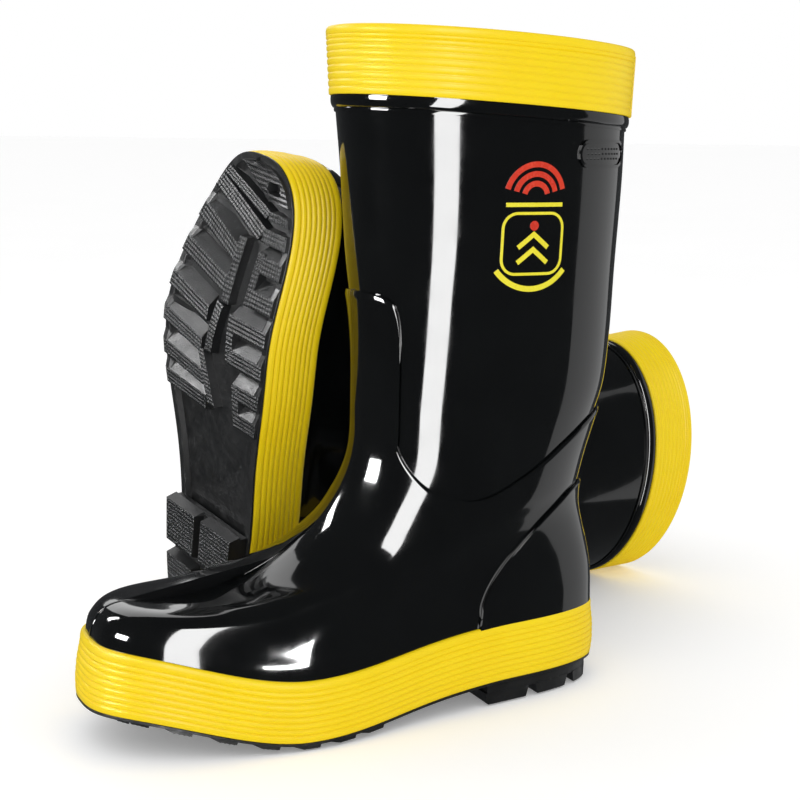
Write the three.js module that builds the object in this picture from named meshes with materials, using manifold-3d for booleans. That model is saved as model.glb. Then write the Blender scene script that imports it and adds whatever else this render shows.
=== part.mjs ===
// A pair of rubber fire boots, in millimetres, +Z up.
// The left boot stands with its toe towards -Y and its outer side towards +X.
// The right boot lies on its back beyond it, with its toe up and its leg along +Y.
//
// One boot is drawn on a family of closed rings. Ring 0 runs round the foot just above the
// outsole, the rings then tilt over the instep, and the last one is the top of the leg.
// Every wall is that same skin moved in or out along its normal, so nested walls never touch.

import * as THREE from 'three';
import { mergeVertices } from 'three/addons/utils/BufferGeometryUtils.js';
import Module from 'manifold-3d';

const wasm = await Module();
wasm.setup();

// ---------- Driving dimensions ----------

const FOOT_LENGTH = 305; // heel to toe, outside the foxing band
const BALL_HALF_WIDTH = 52.5; // widest half of the foot's skin
const LEG_HEIGHT = 370; // floor to the top front of the leg

const HEEL_LINE = 14.6; // height of the foxing band's lower edge at the heel
const BALL_LINE = 4.4; // the same at the ball of the foot, where the tread meets the floor
const TOE_LINE = 23.8; // the same at the tip of the toe
const BAND_HEIGHT = 33; // foxing band, lower edge to upper edge

const LEG_WALL = 2.6; // rubber of the leg and upper
const LINING_WALL = 1.2; // knitted liner
const GALOSH_WALL = 1.8; // overlay over the vamp and quarters
const COUNTER_WALL = 1.6; // overlay round the heel
const CAP_WALL = 1.6; // steel toe cap
const CAP_START = 246; // where the cap begins, from the heel
const COLLAR_WALL = 2.6; // yellow band round the top
const COLLAR_TURN_IN = 9; // how far the collar is folded down inside
const TAB_WALL = 1.2; // overlap tab of the collar
const TAB_WIDTH = 10;
const EMBLEM_WALL = 0.5; // printed transfer
const EMBLEM_WIDTH = 58;
const EMBLEM_HEIGHT = 80;
const BADGE_WALL = 0.9; // raised oval on the back of the leg
const BADGE_WIDTH = 40;
const BADGE_HEIGHT = 14;

const FLANGE_THICKNESS = 1.5; // outsole edge that shows under the foxing band
const FLANGE_REACH = 3.4; // how far that edge stands outside the skin
const LUG_INSET = 5; // tread bars end this far inside that edge
const HEEL_LENGTH = 88; // heel block, back to breast
const CLEAT_DEPTH = 7; // grooves across the heel block
const CLEAT_WIDTH = 9;

const FILLER_THICKNESS = 6; // rubber between outsole and steel
const PLATE_THICKNESS = 1.2; // steel midsole against nails
const BOARD_THICKNESS = 2; // insole board
const INSOLE_THICKNESS = 4.5; // loose insole

const GAP = 0.3; // room between any two pieces that meet

const HALF_STEPS = 12; // facets from heel to toe along one side

// The lying boot: where its toe and its leg point, and where its heel is.
const LYING_TOE = new THREE.Vector3(0.183, 0.0144, 0.984);
const LYING_LEG = new THREE.Vector3(-0.2, 0.979, 0.035);
const LYING_HEEL = new THREE.Vector2(-119, -212);

// ---------- Shape of one boot ----------

const DRAWN_LENGTH = 305; // the ring table below is drawn for these three sizes
const DRAWN_HALF_WIDTH = 52.5;
const DRAWN_HEIGHT = 370;
const ANKLE_HEIGHT = 130; // above this the leg stretches with LEG_HEIGHT
const SLAB_TOP = 4; // outsole's upper face above the band's lower edge

const lengthScale = FOOT_LENGTH / DRAWN_LENGTH;
const widthScale = BALL_HALF_WIDTH / DRAWN_HALF_WIDTH;

const clamp01 = (x) => Math.min(1, Math.max(0, x));
const ease = (x) => clamp01(x) ** 2 * (3 - 2 * clamp01(x));
const mix = (a, b, t) => a + (b - a) * t;

// Lower edge of the foxing band at drawn distance f from the heel: flat heel, ball, toe spring.
function soleLine(f) {
  const t = f / DRAWN_LENGTH;
  const heel = (HEEL_LINE - BALL_LINE) * ease((0.66 - t) / 0.42);
  const toe = (TOE_LINE - BALL_LINE) * ease((t - 0.66) / 0.34);
  return BALL_LINE + heel + toe;
}

function stretch(height) {
  const legScale = (LEG_HEIGHT - ANKLE_HEIGHT) / (DRAWN_HEIGHT - ANKLE_HEIGHT);
  return height <= ANKLE_HEIGHT ? height : ANKLE_HEIGHT + (height - ANKLE_HEIGHT) * legScale;
}

// Each ring: back point and front point (distance from the heel, height above the sole line),
// half width at the back and at the front, squareness (1 is an ellipse), waist, toe shift.
const RINGS = [
  [5.5, SLAB_TOP + GAP, 304, SLAB_TOP + GAP, 37, 52.5, 0.72, 3.4, 5],
  [7, BAND_HEIGHT, 300.5, BAND_HEIGHT, 37, 52.5, 0.72, 3.2, 5],
  [7.5, 49.5, 297.5, 42.5, 36.5, 51, 0.73, 2.8, 5],
  [9.5, 62.5, 289, 49.2, 37, 49.5, 0.75, 2.2, 5],
  [13, 76.5, 268, 53.8, 38, 48, 0.79, 1.5, 4.6],
  [16.5, 91.5, 240, 63, 39.5, 46, 0.84, 0.7, 3.6],
  [16.5, 103.5, 212, 77, 41, 44, 0.89, 0, 2.4],
  [14.5, 113.5, 187, 92, 42.5, 43, 0.94, 0, 1.2],
  [11, 126.5, 168.5, 109, 43.5, 43.5, 0.97, 0, 0],
  [6, 141.5, 155.5, 136, 45, 45, 1, 0, 0],
  [-1, 163.5, 154, 172, 47.5, 47.5, 1, 0, 0],
  [-3.2, 193.5, 155, 210, 51, 51, 1, 0, 0],
  [-4, 231.5, 157.5, 246, 55, 55, 1, 0, 0],
  [-6.2, 278.5, 160.5, 292, 58, 58, 1, 0, 0],
  [-6.5, 313, 164, 331, 60, 60, 1, 0, 0],
  [-8, 347, 166, 364, 61, 61, 1, 0, 0],
];
const LAST_RING = RINGS.length - 1;
const COLLAR_RING = LAST_RING - 1; // lower edge of the collar band
const LEVEL_RINGS = 1; // rings up to here follow the sole line all along
const TILTED_RINGS = 5.5; // from here the rings are flat

// The ring table at any v between its rows, smoothly; the first span is straight.
function ringAt(v) {
  if (v <= 1) return RINGS[0].map((value, i) => mix(value, RINGS[1][i], v));
  const k = Math.min(Math.floor(v), LAST_RING - 1);
  const t = v - k;
  const row = (i) => RINGS[Math.min(i, LAST_RING)];
  const [a, b, c, d] = [row(k - 1), row(k), row(k + 1), row(k + 2)];
  return b.map((value, i) => {
    const inSlope = (c[i] - a[i]) / 2;
    const outSlope = (d[i] - value) / 2;
    const bend = 3 * (c[i] - value) - 2 * inSlope - outSlope;
    const twist = 2 * (value - c[i]) + inSlope + outSlope;
    return value + inSlope * t + bend * t * t + twist * t * t * t;
  });
}

// A point of the skin. u runs from the heel (0) along the outer side to the toe (0.5) and back.
function skinPoint(u, v) {
  const [backF, backH, frontF, frontH, backW, frontW, square, waist, shift] = ringAt(v);
  const along = 0.5 - 0.5 * Math.cos(2 * Math.PI * u);
  const side = Math.sin(2 * Math.PI * u) >= 0 ? 1 : -1;
  const power = 2 / square;
  const round = Math.max(0, 1 - Math.abs(2 * along - 1) ** power) ** (1 / power);
  const pinch = waist * Math.exp(-(((along - 0.42) / 0.13) ** 2));
  const half = mix(backW, frontW, ease((along - 0.18) / 0.5)) - pinch;
  const f = mix(backF, frontF, along);
  const tilt = ease((v - LEVEL_RINGS) / (TILTED_RINGS - LEVEL_RINGS));
  const level = soleLine(f) + stretch(mix(backH, frontH, along));
  const tilted = mix(soleLine(backF) + stretch(backH), soleLine(frontF) + stretch(frontH), along);
  const x = side * half * round - shift * ease((along - 0.6) / 0.4);
  return new THREE.Vector3(x * widthScale, -f * lengthScale, mix(level, tilted, tilt));
}

// The same point moved outwards by d along the skin's normal, which is level at the outsole.
function skinOffset(u, v, d) {
  const point = skinPoint(u, v);
  const du = 0.004;
  const dv = 0.03;
  const around = skinPoint(u + du, v).sub(skinPoint(u - du, v));
  const upward = skinPoint(u, Math.min(v + dv, LAST_RING)).sub(skinPoint(u, v - dv));
  const normal = upward.cross(around).normalize();
  normal.z *= ease(v / 1.5);
  return point.addScaledVector(normal.normalize(), d);
}

// Ring number at height h above the sole line, inside the foxing band.
const bandRing = (h) => (h - RINGS[0][1]) / (RINGS[1][1] - RINGS[0][1]);

const STEPS = 2 * HALF_STEPS;

// Extra room for the steel cap between the leg and the lining.
function capRoom(u, v) {
  const f = -skinPoint(u, v).y / lengthScale;
  return v < 7 ? (CAP_WALL + 3 * GAP) * ease((f - CAP_START + 26) / 16) : 0;
}

// ---------- Closed meshes from rings ----------

function closedGeometry(points, faces) {
  const geometry = new THREE.BufferGeometry();
  geometry.setAttribute('position', new THREE.Float32BufferAttribute(points.flatMap((p) => p.toArray()), 3));
  geometry.setIndex(faces);
  return geometry;
}

// Two triangles over the corners a b c d.
const quad = (a, b, c, d) => [a, b, c, a, c, d];

// Sweeps a closed outline round the boot. The outline is a list of [v, d] pairs, and d may be
// a function of u and v. Inner and outer faces are split along the same diagonal, so that
// nested walls stay parallel.
function sweepRound(outline) {
  const points = [];
  const faces = [];
  const count = outline.length;
  for (let i = 0; i < STEPS; i += 1) {
    const u = i / STEPS;
    for (const [v, d] of outline) {
      points.push(skinOffset(u, v, typeof d === 'function' ? d(u, v) : d));
    }
    for (let j = 0; j < count; j += 1) {
      const next = ((i + 1) % STEPS) * count;
      const k = (j + 1) % count;
      const here = i * count;
      const rising = outline[k][0] > outline[j][0];
      const corners = [here + j, here + k, next + k, next + j];
      faces.push(...(rising ? quad(...corners) : quad(...corners.slice(1), corners[0])));
    }
  }
  return closedGeometry(points, faces);
}

// A wall from inner to outer offset over a list of rings.
function wall(rings, inner, outer) {
  const up = rings.map((v) => [v, outer]);
  const down = [...rings].reverse().map((v) => [v, inner]);
  return sweepRound([...up, ...down]);
}

// A filled body over a list of [v, d] rings, closed by flat strips from side to side.
function filled(rings) {
  const points = [];
  const faces = [];
  for (const [v, d] of rings) {
    for (let i = 0; i < STEPS; i += 1) {
      const u = i / STEPS;
      points.push(skinOffset(u, v, typeof d === 'function' ? d(u, v) : d));
    }
  }
  for (let j = 0; j < rings.length - 1; j += 1) {
    for (let i = 0; i < STEPS; i += 1) {
      const k = (i + 1) % STEPS;
      const low = j * STEPS;
      faces.push(...quad(low + i, low + STEPS + i, low + STEPS + k, low + k));
    }
  }
  const top = (rings.length - 1) * STEPS;
  for (let i = 0; i < HALF_STEPS; i += 1) {
    const far = (STEPS - i) % STEPS;
    const farNext = STEPS - i - 1;
    const strip = i === 0 ? [i, farNext, i + 1] : quad(i, far, farNext, i + 1);
    const closing = i === HALF_STEPS - 1 ? [i, far, farNext] : strip;
    faces.push(...[...closing].reverse());
    faces.push(...closing.map((index) => top + index));
  }
  return closedGeometry(points, faces);
}

// ---------- Joining and cutting ----------

function toSolid(geometry) {
  const bare = geometry.clone();
  bare.deleteAttribute('normal');
  bare.deleteAttribute('uv');
  const merged = mergeVertices(bare, 1e-4);
  const source = new wasm.Mesh({
    numProp: 3,
    vertProperties: new Float32Array(merged.attributes.position.array),
    triVerts: new Uint32Array(merged.index.array),
  });
  return new wasm.Manifold(source);
}

function toGeometry(solid) {
  const mesh = solid.getMesh();
  const geometry = new THREE.BufferGeometry();
  geometry.setAttribute('position', new THREE.BufferAttribute(new Float32Array(mesh.vertProperties), 3));
  geometry.setIndex(new THREE.BufferAttribute(new Uint32Array(mesh.triVerts), 1));
  return geometry;
}

function box(x0, x1, f0, f1, z0, z1) {
  const geometry = new THREE.BoxGeometry(x1 - x0, f1 - f0, z1 - z0);
  geometry.translate((x0 + x1) / 2, -(f0 + f1) / 2, (z0 + z1) / 2);
  return toSolid(geometry);
}

// A prism through the boot from side to side; the outline is in [distance from heel, height].
function sidePrism(outline, x0, x1) {
  const shape = new THREE.Shape(outline.map(([f, z]) => new THREE.Vector2(f, z)));
  const geometry = new THREE.ExtrudeGeometry(shape, { depth: x1 - x0, bevelEnabled: false });
  geometry.applyMatrix4(new THREE.Matrix4().set(0, 0, -1, x1, -1, 0, 0, 0, 0, 1, 0, 0, 0, 0, 0, 1));
  return toSolid(geometry);
}

const REACH = 120; // further out than any part of a boot

// ---------- The pieces of one boot ----------

const LEG_RINGS = [0, 1, 2, 3, 4, 5, 6, 7, 8, 9, 10.5, 12, 13, COLLAR_RING, LAST_RING];
const LOW_RINGS = LEG_RINGS.filter((v) => v <= 12);

const liningOuter = (u, v) => -(LEG_WALL + GAP) - capRoom(u, v);
const liningInner = (u, v) => liningOuter(u, v) - LINING_WALL;
const liningInnerPlain = -(LEG_WALL + GAP + LINING_WALL);

function leg() {
  return toSolid(wall(LEG_RINGS, -LEG_WALL, 0));
}

function lining() {
  return toSolid(wall(LEG_RINGS, liningInner, liningOuter));
}

// Height above the floor of the line where the overlays meet the foxing band.
const OVERLAY_START = BAND_HEIGHT + 1;
function overBand(f) {
  return soleLine(f) + OVERLAY_START;
}

function bandEdge(from, to, count) {
  return Array.from({ length: count }, (_, i) => {
    const f = mix(from, to, i / (count - 1));
    return [f, overBand(f)];
  });
}

const toBuilt = ([f, z]) => [f * lengthScale, stretch(z)];

// Smooths a hand-drawn edge into short straight pieces.
function smoothEdge(points, count) {
  const curve = new THREE.CatmullRomCurve3(points.map(([f, z]) => new THREE.Vector3(f, z, 0)));
  return curve.getPoints(count).map((p) => [p.x, p.y]);
}

// Raised top edge of the galosh, from the shin down to the side and up to the back.
const GALOSH_EDGE = [
  [175, 234], [158, 234], [147, 231], [142, 220], [141, 195], [143, 172], [140, 148],
  [131, 132.5], [118, 124.5], [104, 121.5], [91, 123.5], [76, 130], [59, 139], [41, 150],
  [20, 160.5], [3, 164.5], [-15, 165.5],
];

function galosh() {
  const outline = [...smoothEdge(GALOSH_EDGE, 20), ...bandEdge(-15, 325, 14)].map(toBuilt);
  const shell = toSolid(wall(LOW_RINGS, GAP, GAP + GALOSH_WALL));
  return shell.intersect(sidePrism(outline, -REACH, REACH));
}

// Curved front edge of the heel counter.
const COUNTER_EDGE = [
  [93.5, 59], [90, 68], [85, 76], [77.5, 85], [70, 92], [61, 100], [52, 107],
  [42, 113.5], [31, 119.5], [16, 121.5], [-15, 122],
];

function heelCounter() {
  const outline = [...smoothEdge(COUNTER_EDGE, 10), ...bandEdge(-15, 94, 6)].map(toBuilt);
  const inner = 2 * GAP + GALOSH_WALL;
  const shell = toSolid(wall(LOW_RINGS, inner, inner + COUNTER_WALL));
  return shell.intersect(sidePrism(outline, -REACH, REACH));
}

function foxingBand() {
  const bottom = bandRing(0);
  const at = (share) => mix(bottom, 1, share);
  return toSolid(sweepRound([
    [bottom, GAP], [bottom, 3.8], [at(0.24), 5], [at(0.55), 5.2], [at(0.82), 4.2], [1, 2.4], [1, GAP],
  ]));
}

// Tread bars in the forefoot: distance of the inner and the outer end from the heel, and how far
// the inner end stays from the middle. Outer-side bars slant, inner-side bars run straight across.
const OUTER_BARS = [[166, 168, 3], [184, 188, 5], [203, 210, 6], [222, 233, 4], [241, 256, 2], [259, 277, 2]];
const INNER_BARS = [[166, 166, 6], [184, 184, 10], [203, 203, 9], [222, 222, 12], [241, 241, 14], [260, 260, 14]];
const BAR_WIDTH = 12;
const TOE_BAR_START = 277;
const LUG_DEPTH = BALL_LINE - FLANGE_THICKNESS - GAP;

// Half width of the outsole's edge at distance f, on the outer (1) or inner (-1) side.
function soleEdge(f, side) {
  const ring = ringAt(0);
  const along = (f - ring[0]) / (ring[2] - ring[0]);
  const turn = Math.acos(1 - 2 * clamp01(along)) / (2 * Math.PI);
  return skinOffset(side > 0 ? turn : 1 - turn, bandRing(0), FLANGE_REACH - LUG_INSET).x;
}

// A lug from its plan, given as [x, f] corners. It hangs from inside the outsole's flange.
function lug(corners) {
  const shape = new THREE.Shape(corners.map(([x, f]) => new THREE.Vector2(x, -f * lengthScale)));
  const geometry = new THREE.ExtrudeGeometry(shape, { depth: 1, bevelEnabled: false });
  const position = geometry.attributes.position;
  for (let i = 0; i < position.count; i += 1) {
    const line = soleLine(-position.getY(i) / lengthScale);
    const root = line - GAP - FLANGE_THICKNESS / 2;
    const low = line - GAP - FLANGE_THICKNESS - LUG_DEPTH;
    position.setZ(i, position.getZ(i) > 0.5 ? root : low);
  }
  return toSolid(geometry);
}

function bar([innerF, outerF, clear], side) {
  const start = side * clear * widthScale;
  const half = BAR_WIDTH / 2;
  return lug([
    [start, innerF - half],
    [soleEdge(outerF - half, side), outerF - half],
    [soleEdge(outerF + half, side), outerF + half],
    [start, innerF + half],
  ]);
}

function toeBar() {
  const start = TOE_BAR_START;
  const rows = [start, 285, 292, 298];
  const right = rows.map((f) => [soleEdge(f, 1), f]);
  const left = [...rows].reverse().map((f) => [soleEdge(f, -1), f]);
  return lug([...right, ...left]);
}

function outsole() {
  const bottom = bandRing(-GAP - FLANGE_THICKNESS);
  const ledge = bandRing(-GAP);
  let body = toSolid(filled([
    [bottom, FLANGE_REACH], [ledge, FLANGE_REACH], [ledge, 0], [bandRing(SLAB_TOP), 0],
  ]));
  for (const plan of OUTER_BARS) body = body.add(bar(plan, 1));
  for (const plan of INNER_BARS) body = body.add(bar(plan, -1));
  return body.add(toeBar());
}

// A V groove across the heel block at distance f, or along it at offset x.
function crossGroove(f) {
  const outline = [[f - CLEAT_WIDTH / 2, -1], [f + CLEAT_WIDTH / 2, -1], [f + 1, CLEAT_DEPTH], [f - 1, CLEAT_DEPTH]];
  return sidePrism(outline, -REACH, REACH);
}

function heelBlock() {
  const top = bandRing(-2 * GAP - FLANGE_THICKNESS);
  const deep = bandRing(-3 * HEEL_LINE);
  const block = toSolid(filled([[deep, 0.5], [top, 1.5]]));
  const cut = block.intersect(box(-REACH, REACH, -REACH, HEEL_LENGTH * lengthScale, 0, HEEL_LINE * 2));
  const grooves = [0.3, 0.64].map((share) => crossGroove(share * HEEL_LENGTH * lengthScale));
  const middle = box(-3, 3, -REACH, REACH, -1, CLEAT_DEPTH - 2);
  return grooves.reduce((body, groove) => body.subtract(groove), cut).subtract(middle);
}

function collarBand() {
  const low = COLLAR_RING;
  const span = LAST_RING - COLLAR_RING;
  const height = RINGS[LAST_RING][3] - RINGS[COLLAR_RING][3];
  const ringsPerMm = span / height;
  const rim = LAST_RING + (GAP + COLLAR_WALL) * ringsPerMm;
  const turned = LAST_RING - COLLAR_TURN_IN * ringsPerMm;
  const inside = liningInnerPlain - GAP;
  return { low, rim, turned, inside, top: LAST_RING + GAP * ringsPerMm };
}

// The collar is swept from heights, because it rises above the last ring.
function collar() {
  const { low, turned, inside } = collarBand();
  const outer = GAP + COLLAR_WALL;
  const outline = [
    [low, GAP, 0], [low, outer, 0], [LAST_RING, outer, COLLAR_WALL], [LAST_RING, inside - COLLAR_WALL / 2, COLLAR_WALL],
    [turned, inside - COLLAR_WALL / 2, 0], [turned, inside, 0], [LAST_RING, inside, GAP], [LAST_RING, GAP, GAP],
  ];
  const geometry = sweepRound(outline.map(([v, d]) => [v, d]));
  const position = geometry.attributes.position;
  for (let i = 0; i < position.count; i += 1) {
    position.setZ(i, position.getZ(i) + outline[i % outline.length][2]);
  }
  return toSolid(geometry);
}

function collarTab() {
  const inner = 2 * GAP + COLLAR_WALL;
  const shell = toSolid(wall([COLLAR_RING, LAST_RING], inner, inner + TAB_WALL));
  const middle = 14;
  const cut = box(middle - TAB_WIDTH / 2, middle + TAB_WIDTH / 2, -REACH, 40, 0, 2 * LEG_HEIGHT);
  return shell.intersect(cut);
}

const BEAD_HEIGHT = 0.17; // in rings
function collarBead() {
  const top = COLLAR_RING - 0.01;
  const low = top - BEAD_HEIGHT;
  return toSolid(sweepRound([[low, GAP], [low, 1.4], [mix(low, top, 0.5), 2.3], [top, 2.2], [top, GAP]]));
}

// A patch of the leg's surface under an oval that is pushed through it along the skin's normal.
function patch(u, v, width, height, wallThickness) {
  const centre = skinPoint(u, v);
  const normal = skinOffset(u, v, 1).sub(centre);
  const shape = new THREE.Shape();
  shape.absellipse(0, 0, width / 2, height / 2, 0, 2 * Math.PI);
  const depth = 40;
  const geometry = new THREE.ExtrudeGeometry(shape, { depth, bevelEnabled: false, curveSegments: 10 });
  geometry.translate(0, 0, -depth / 2);
  const turn = new THREE.Matrix4().lookAt(centre.clone().add(normal), centre, new THREE.Vector3(0, 0, 1));
  geometry.applyMatrix4(turn.setPosition(centre));
  const rings = LEG_RINGS.filter((ring) => ring >= 9);
  const shell = toSolid(wall(rings, GAP, GAP + wallThickness));
  return shell.intersect(toSolid(geometry));
}

const emblem = () => patch(0.247, 12.2, EMBLEM_WIDTH, EMBLEM_HEIGHT, EMBLEM_WALL);
const sizeBadge = () => patch(0.06, 13.35, BADGE_WIDTH, BADGE_HEIGHT, BADGE_WALL);

// A layer on the foot bed between two heights above the sole line.
function layer(low, thickness, inset) {
  const edge = (u) => liningInner(u, 0) - GAP - inset;
  return toSolid(filled([[bandRing(low), edge], [bandRing(low + thickness), edge]]));
}

const FILLER_LOW = SLAB_TOP + GAP;
const PLATE_LOW = FILLER_LOW + FILLER_THICKNESS + GAP;
const BOARD_LOW = PLATE_LOW + PLATE_THICKNESS + GAP;
const INSOLE_LOW = BOARD_LOW + BOARD_THICKNESS + GAP;

function toeCap() {
  const rings = LEG_RINGS.filter((v) => v <= 6);
  const outer = -(LEG_WALL + GAP);
  const lowered = [bandRing(FILLER_LOW + GAP), ...rings.slice(1)];
  const shell = toSolid(wall(lowered, outer - CAP_WALL, outer));
  return shell.intersect(box(-REACH, REACH, CAP_START * lengthScale, 2 * FOOT_LENGTH, 0, LEG_HEIGHT));
}

// ---------- Finishes ----------

const YELLOW = 0xf2d21a;
const BLACK = 0x111213;
const finish = (color, roughness, metalness = 0) => ({ color, roughness, metalness });
const GLOSSY_BLACK = finish(BLACK, 0.12);
const GLOSSY_YELLOW = finish(YELLOW, 0.35);
const TREAD_BLACK = finish(0x1c1d1e, 0.6);
const STEEL = finish(0x9a9da1, 0.35, 1);

const PIECES = {
  leg: [leg, GLOSSY_BLACK],
  lining: [lining, finish(0xc9c2b0, 0.95)],
  galosh: [galosh, GLOSSY_BLACK],
  heel_counter: [heelCounter, GLOSSY_BLACK],
  foxing_band: [foxingBand, GLOSSY_YELLOW],
  outsole: [outsole, TREAD_BLACK],
  heel_block: [heelBlock, TREAD_BLACK],
  collar_band: [collar, GLOSSY_YELLOW],
  collar_tab: [collarTab, GLOSSY_YELLOW],
  collar_bead: [collarBead, GLOSSY_BLACK],
  emblem: [emblem, finish(YELLOW, 0.4)],
  size_badge: [sizeBadge, GLOSSY_BLACK],
  midsole_filler: [() => layer(FILLER_LOW, FILLER_THICKNESS, 0), finish(0x3a3a3a, 0.8)],
  puncture_plate: [() => layer(PLATE_LOW, PLATE_THICKNESS, 0.8), STEEL],
  insole_board: [() => layer(BOARD_LOW, BOARD_THICKNESS, 0), finish(0x8d7350, 0.9)],
  insole: [() => layer(INSOLE_LOW, INSOLE_THICKNESS, 0.8), finish(0x4a5560, 0.95)],
  steel_toe_cap: [toeCap, STEEL],
};

// ---------- The pair ----------

// One boot as a group. The right boot is the left one mirrored in X.
function boot(prefix, mirrored) {
  const group = new THREE.Group();
  for (const [name, [make, look]] of Object.entries(PIECES)) {
    const geometry = toGeometry(make());
    if (mirrored) {
      geometry.scale(-1, 1, 1);
      geometry.index.array.reverse();
    }
    const mesh = new THREE.Mesh(geometry, new THREE.MeshStandardMaterial(look));
    mesh.name = `${prefix}_${name}`;
    group.add(mesh);
  }
  return group;
}

const left = boot('left', false);
const right = boot('right', true);

// Turns the right boot onto its back and lowers it until it touches the floor.
const toeWay = LYING_TOE.clone().normalize();
const outerWay = toeWay.clone().cross(LYING_LEG).normalize();
const legWay = outerWay.clone().cross(toeWay);
right.quaternion.setFromRotationMatrix(new THREE.Matrix4().makeBasis(
  outerWay.clone().negate(), toeWay.clone().negate(), legWay,
));
const leanX = toeWay.x * (FOOT_LENGTH - DRAWN_LENGTH); // a longer foot leans further over
right.position.set(LYING_HEEL.x * widthScale - leanX, LYING_HEEL.y * lengthScale, 0);
right.updateMatrixWorld(true);
right.position.z = -new THREE.Box3().setFromObject(right, true).min.z;

// The origin is on the floor, under the middle of the pair.
const pair = new THREE.Group();
pair.add(left, right);
pair.updateMatrixWorld(true);
const around = new THREE.Box3().setFromObject(pair, true);
const middle = around.getCenter(new THREE.Vector3());
pair.position.set(-middle.x, -middle.y, -around.min.z);
pair.updateMatrixWorld(true);

export default pair;
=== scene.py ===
"""A pair of glossy black rubber fire boots with yellow ribbed bands.

The left boot stands, the right one lies on its back behind it. Both are made from one set of
shapes, drawn in millimetres with the back of the heel on the origin and the toe towards -Y, and
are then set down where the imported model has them.
"""

import math

import bmesh
import bpy
import numpy as np
from mathutils import Matrix, Vector


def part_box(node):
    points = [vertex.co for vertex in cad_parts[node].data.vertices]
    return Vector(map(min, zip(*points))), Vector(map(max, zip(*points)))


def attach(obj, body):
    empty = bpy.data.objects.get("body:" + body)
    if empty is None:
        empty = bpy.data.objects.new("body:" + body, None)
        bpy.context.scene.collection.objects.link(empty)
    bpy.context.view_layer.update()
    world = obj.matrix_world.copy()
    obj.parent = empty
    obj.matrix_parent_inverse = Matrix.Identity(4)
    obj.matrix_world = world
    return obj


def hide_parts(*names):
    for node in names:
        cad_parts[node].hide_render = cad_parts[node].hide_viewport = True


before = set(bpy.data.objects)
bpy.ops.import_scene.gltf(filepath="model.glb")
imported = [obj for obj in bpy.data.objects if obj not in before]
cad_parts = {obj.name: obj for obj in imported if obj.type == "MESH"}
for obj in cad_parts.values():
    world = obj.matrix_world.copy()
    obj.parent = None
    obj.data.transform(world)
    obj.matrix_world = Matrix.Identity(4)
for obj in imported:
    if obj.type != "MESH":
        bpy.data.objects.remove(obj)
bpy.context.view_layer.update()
scene = bpy.context.scene

MM = 0.001
SIDES = ("left", "right")

# ---------- Sizes of one boot, in millimetres ----------

FOOT_LENGTH = 305.0
HEEL_LINE = 14.6
BALL_LINE = 4.4
TOE_LINE = 23.8
BAND_HEIGHT = 33.0
SLAB_TOP = 4.3
LEG_WALL = 2.6
LINING_WALL = 1.2
GALOSH_WALL = 1.8
COUNTER_WALL = 1.6
COUNTER_END = 96
FILLER_THICKNESS = 6.0
PLATE_THICKNESS = 1.2
BOARD_THICKNESS = 2.0
INSOLE_THICKNESS = 4.5
GAP = 0.3
CAP_ROOM = 2.5
CAP_START = 246.0
HEEL_LENGTH = 88.0
FLANGE_REACH = 3.4
FLANGE_LOW = 1.8

LYING_TOE = Vector((0.183, 0.0144, 0.984)).normalized()
LYING_LEG = Vector((-0.2, 0.979, 0.035))

# Each ring: back point and front point (distance from the heel, height above the sole line),
# half width at the back and at the front, squareness, waist, toe shift.
RINGS = np.array([
    [5.5, 4.3, 304, 4.3, 37, 52.5, 0.72, 3.4, 5],
    [7, 33, 300.5, 33, 37, 52.5, 0.72, 3.2, 5],
    [7.5, 49.5, 297.5, 42.5, 36.5, 51, 0.73, 2.8, 5],
    [9.5, 62.5, 289, 49.2, 37, 49.5, 0.75, 2.2, 5],
    [13, 76.5, 268, 53.8, 38, 48, 0.79, 1.5, 4.6],
    [16.5, 91.5, 240, 63, 39.5, 46, 0.84, 0.7, 3.6],
    [16.5, 103.5, 212, 77, 41, 44, 0.89, 0, 2.4],
    [14.5, 113.5, 187, 92, 42.5, 43, 0.94, 0, 1.2],
    [11, 126.5, 168.5, 109, 43.5, 43.5, 0.97, 0, 0],
    [6, 141.5, 155.5, 136, 45, 45, 1, 0, 0],
    [-1, 163.5, 154, 172, 47.5, 47.5, 1, 0, 0],
    [-3.2, 193.5, 155, 210, 51, 51, 1, 0, 0],
    [-4, 231.5, 157.5, 246, 55, 55, 1, 0, 0],
    [-6.2, 278.5, 160.5, 292, 58, 58, 1, 0, 0],
    [-6.5, 313, 164, 331, 60, 60, 1, 0, 0],
    [-8, 347, 166, 364, 61, 61, 1, 0, 0],
])
LAST_RING = len(RINGS) - 1
COLLAR_RING = LAST_RING - 1
COLLAR_HEIGHT = 33.0
COLLAR_TURN_IN = 9.0
LEG_RINGS = [0, 1, 2, 3, 4, 5, 6, 7, 8, 9, 10.5, 12, 13, COLLAR_RING, LAST_RING]
CAD_STEPS = 24


# ---------- The skin of one boot ----------

def ease(x):
    x = np.clip(x, 0, 1)
    return x * x * (3 - 2 * x)


def mix(a, b, t):
    return a + (b - a) * t


def sole_line(f):
    """Height of the foxing band's lower edge at distance f from the heel."""
    t = f / FOOT_LENGTH
    heel = (HEEL_LINE - BALL_LINE) * ease((0.66 - t) / 0.42)
    toe = (TOE_LINE - BALL_LINE) * ease((t - 0.66) / 0.34)
    return BALL_LINE + heel + toe


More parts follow.
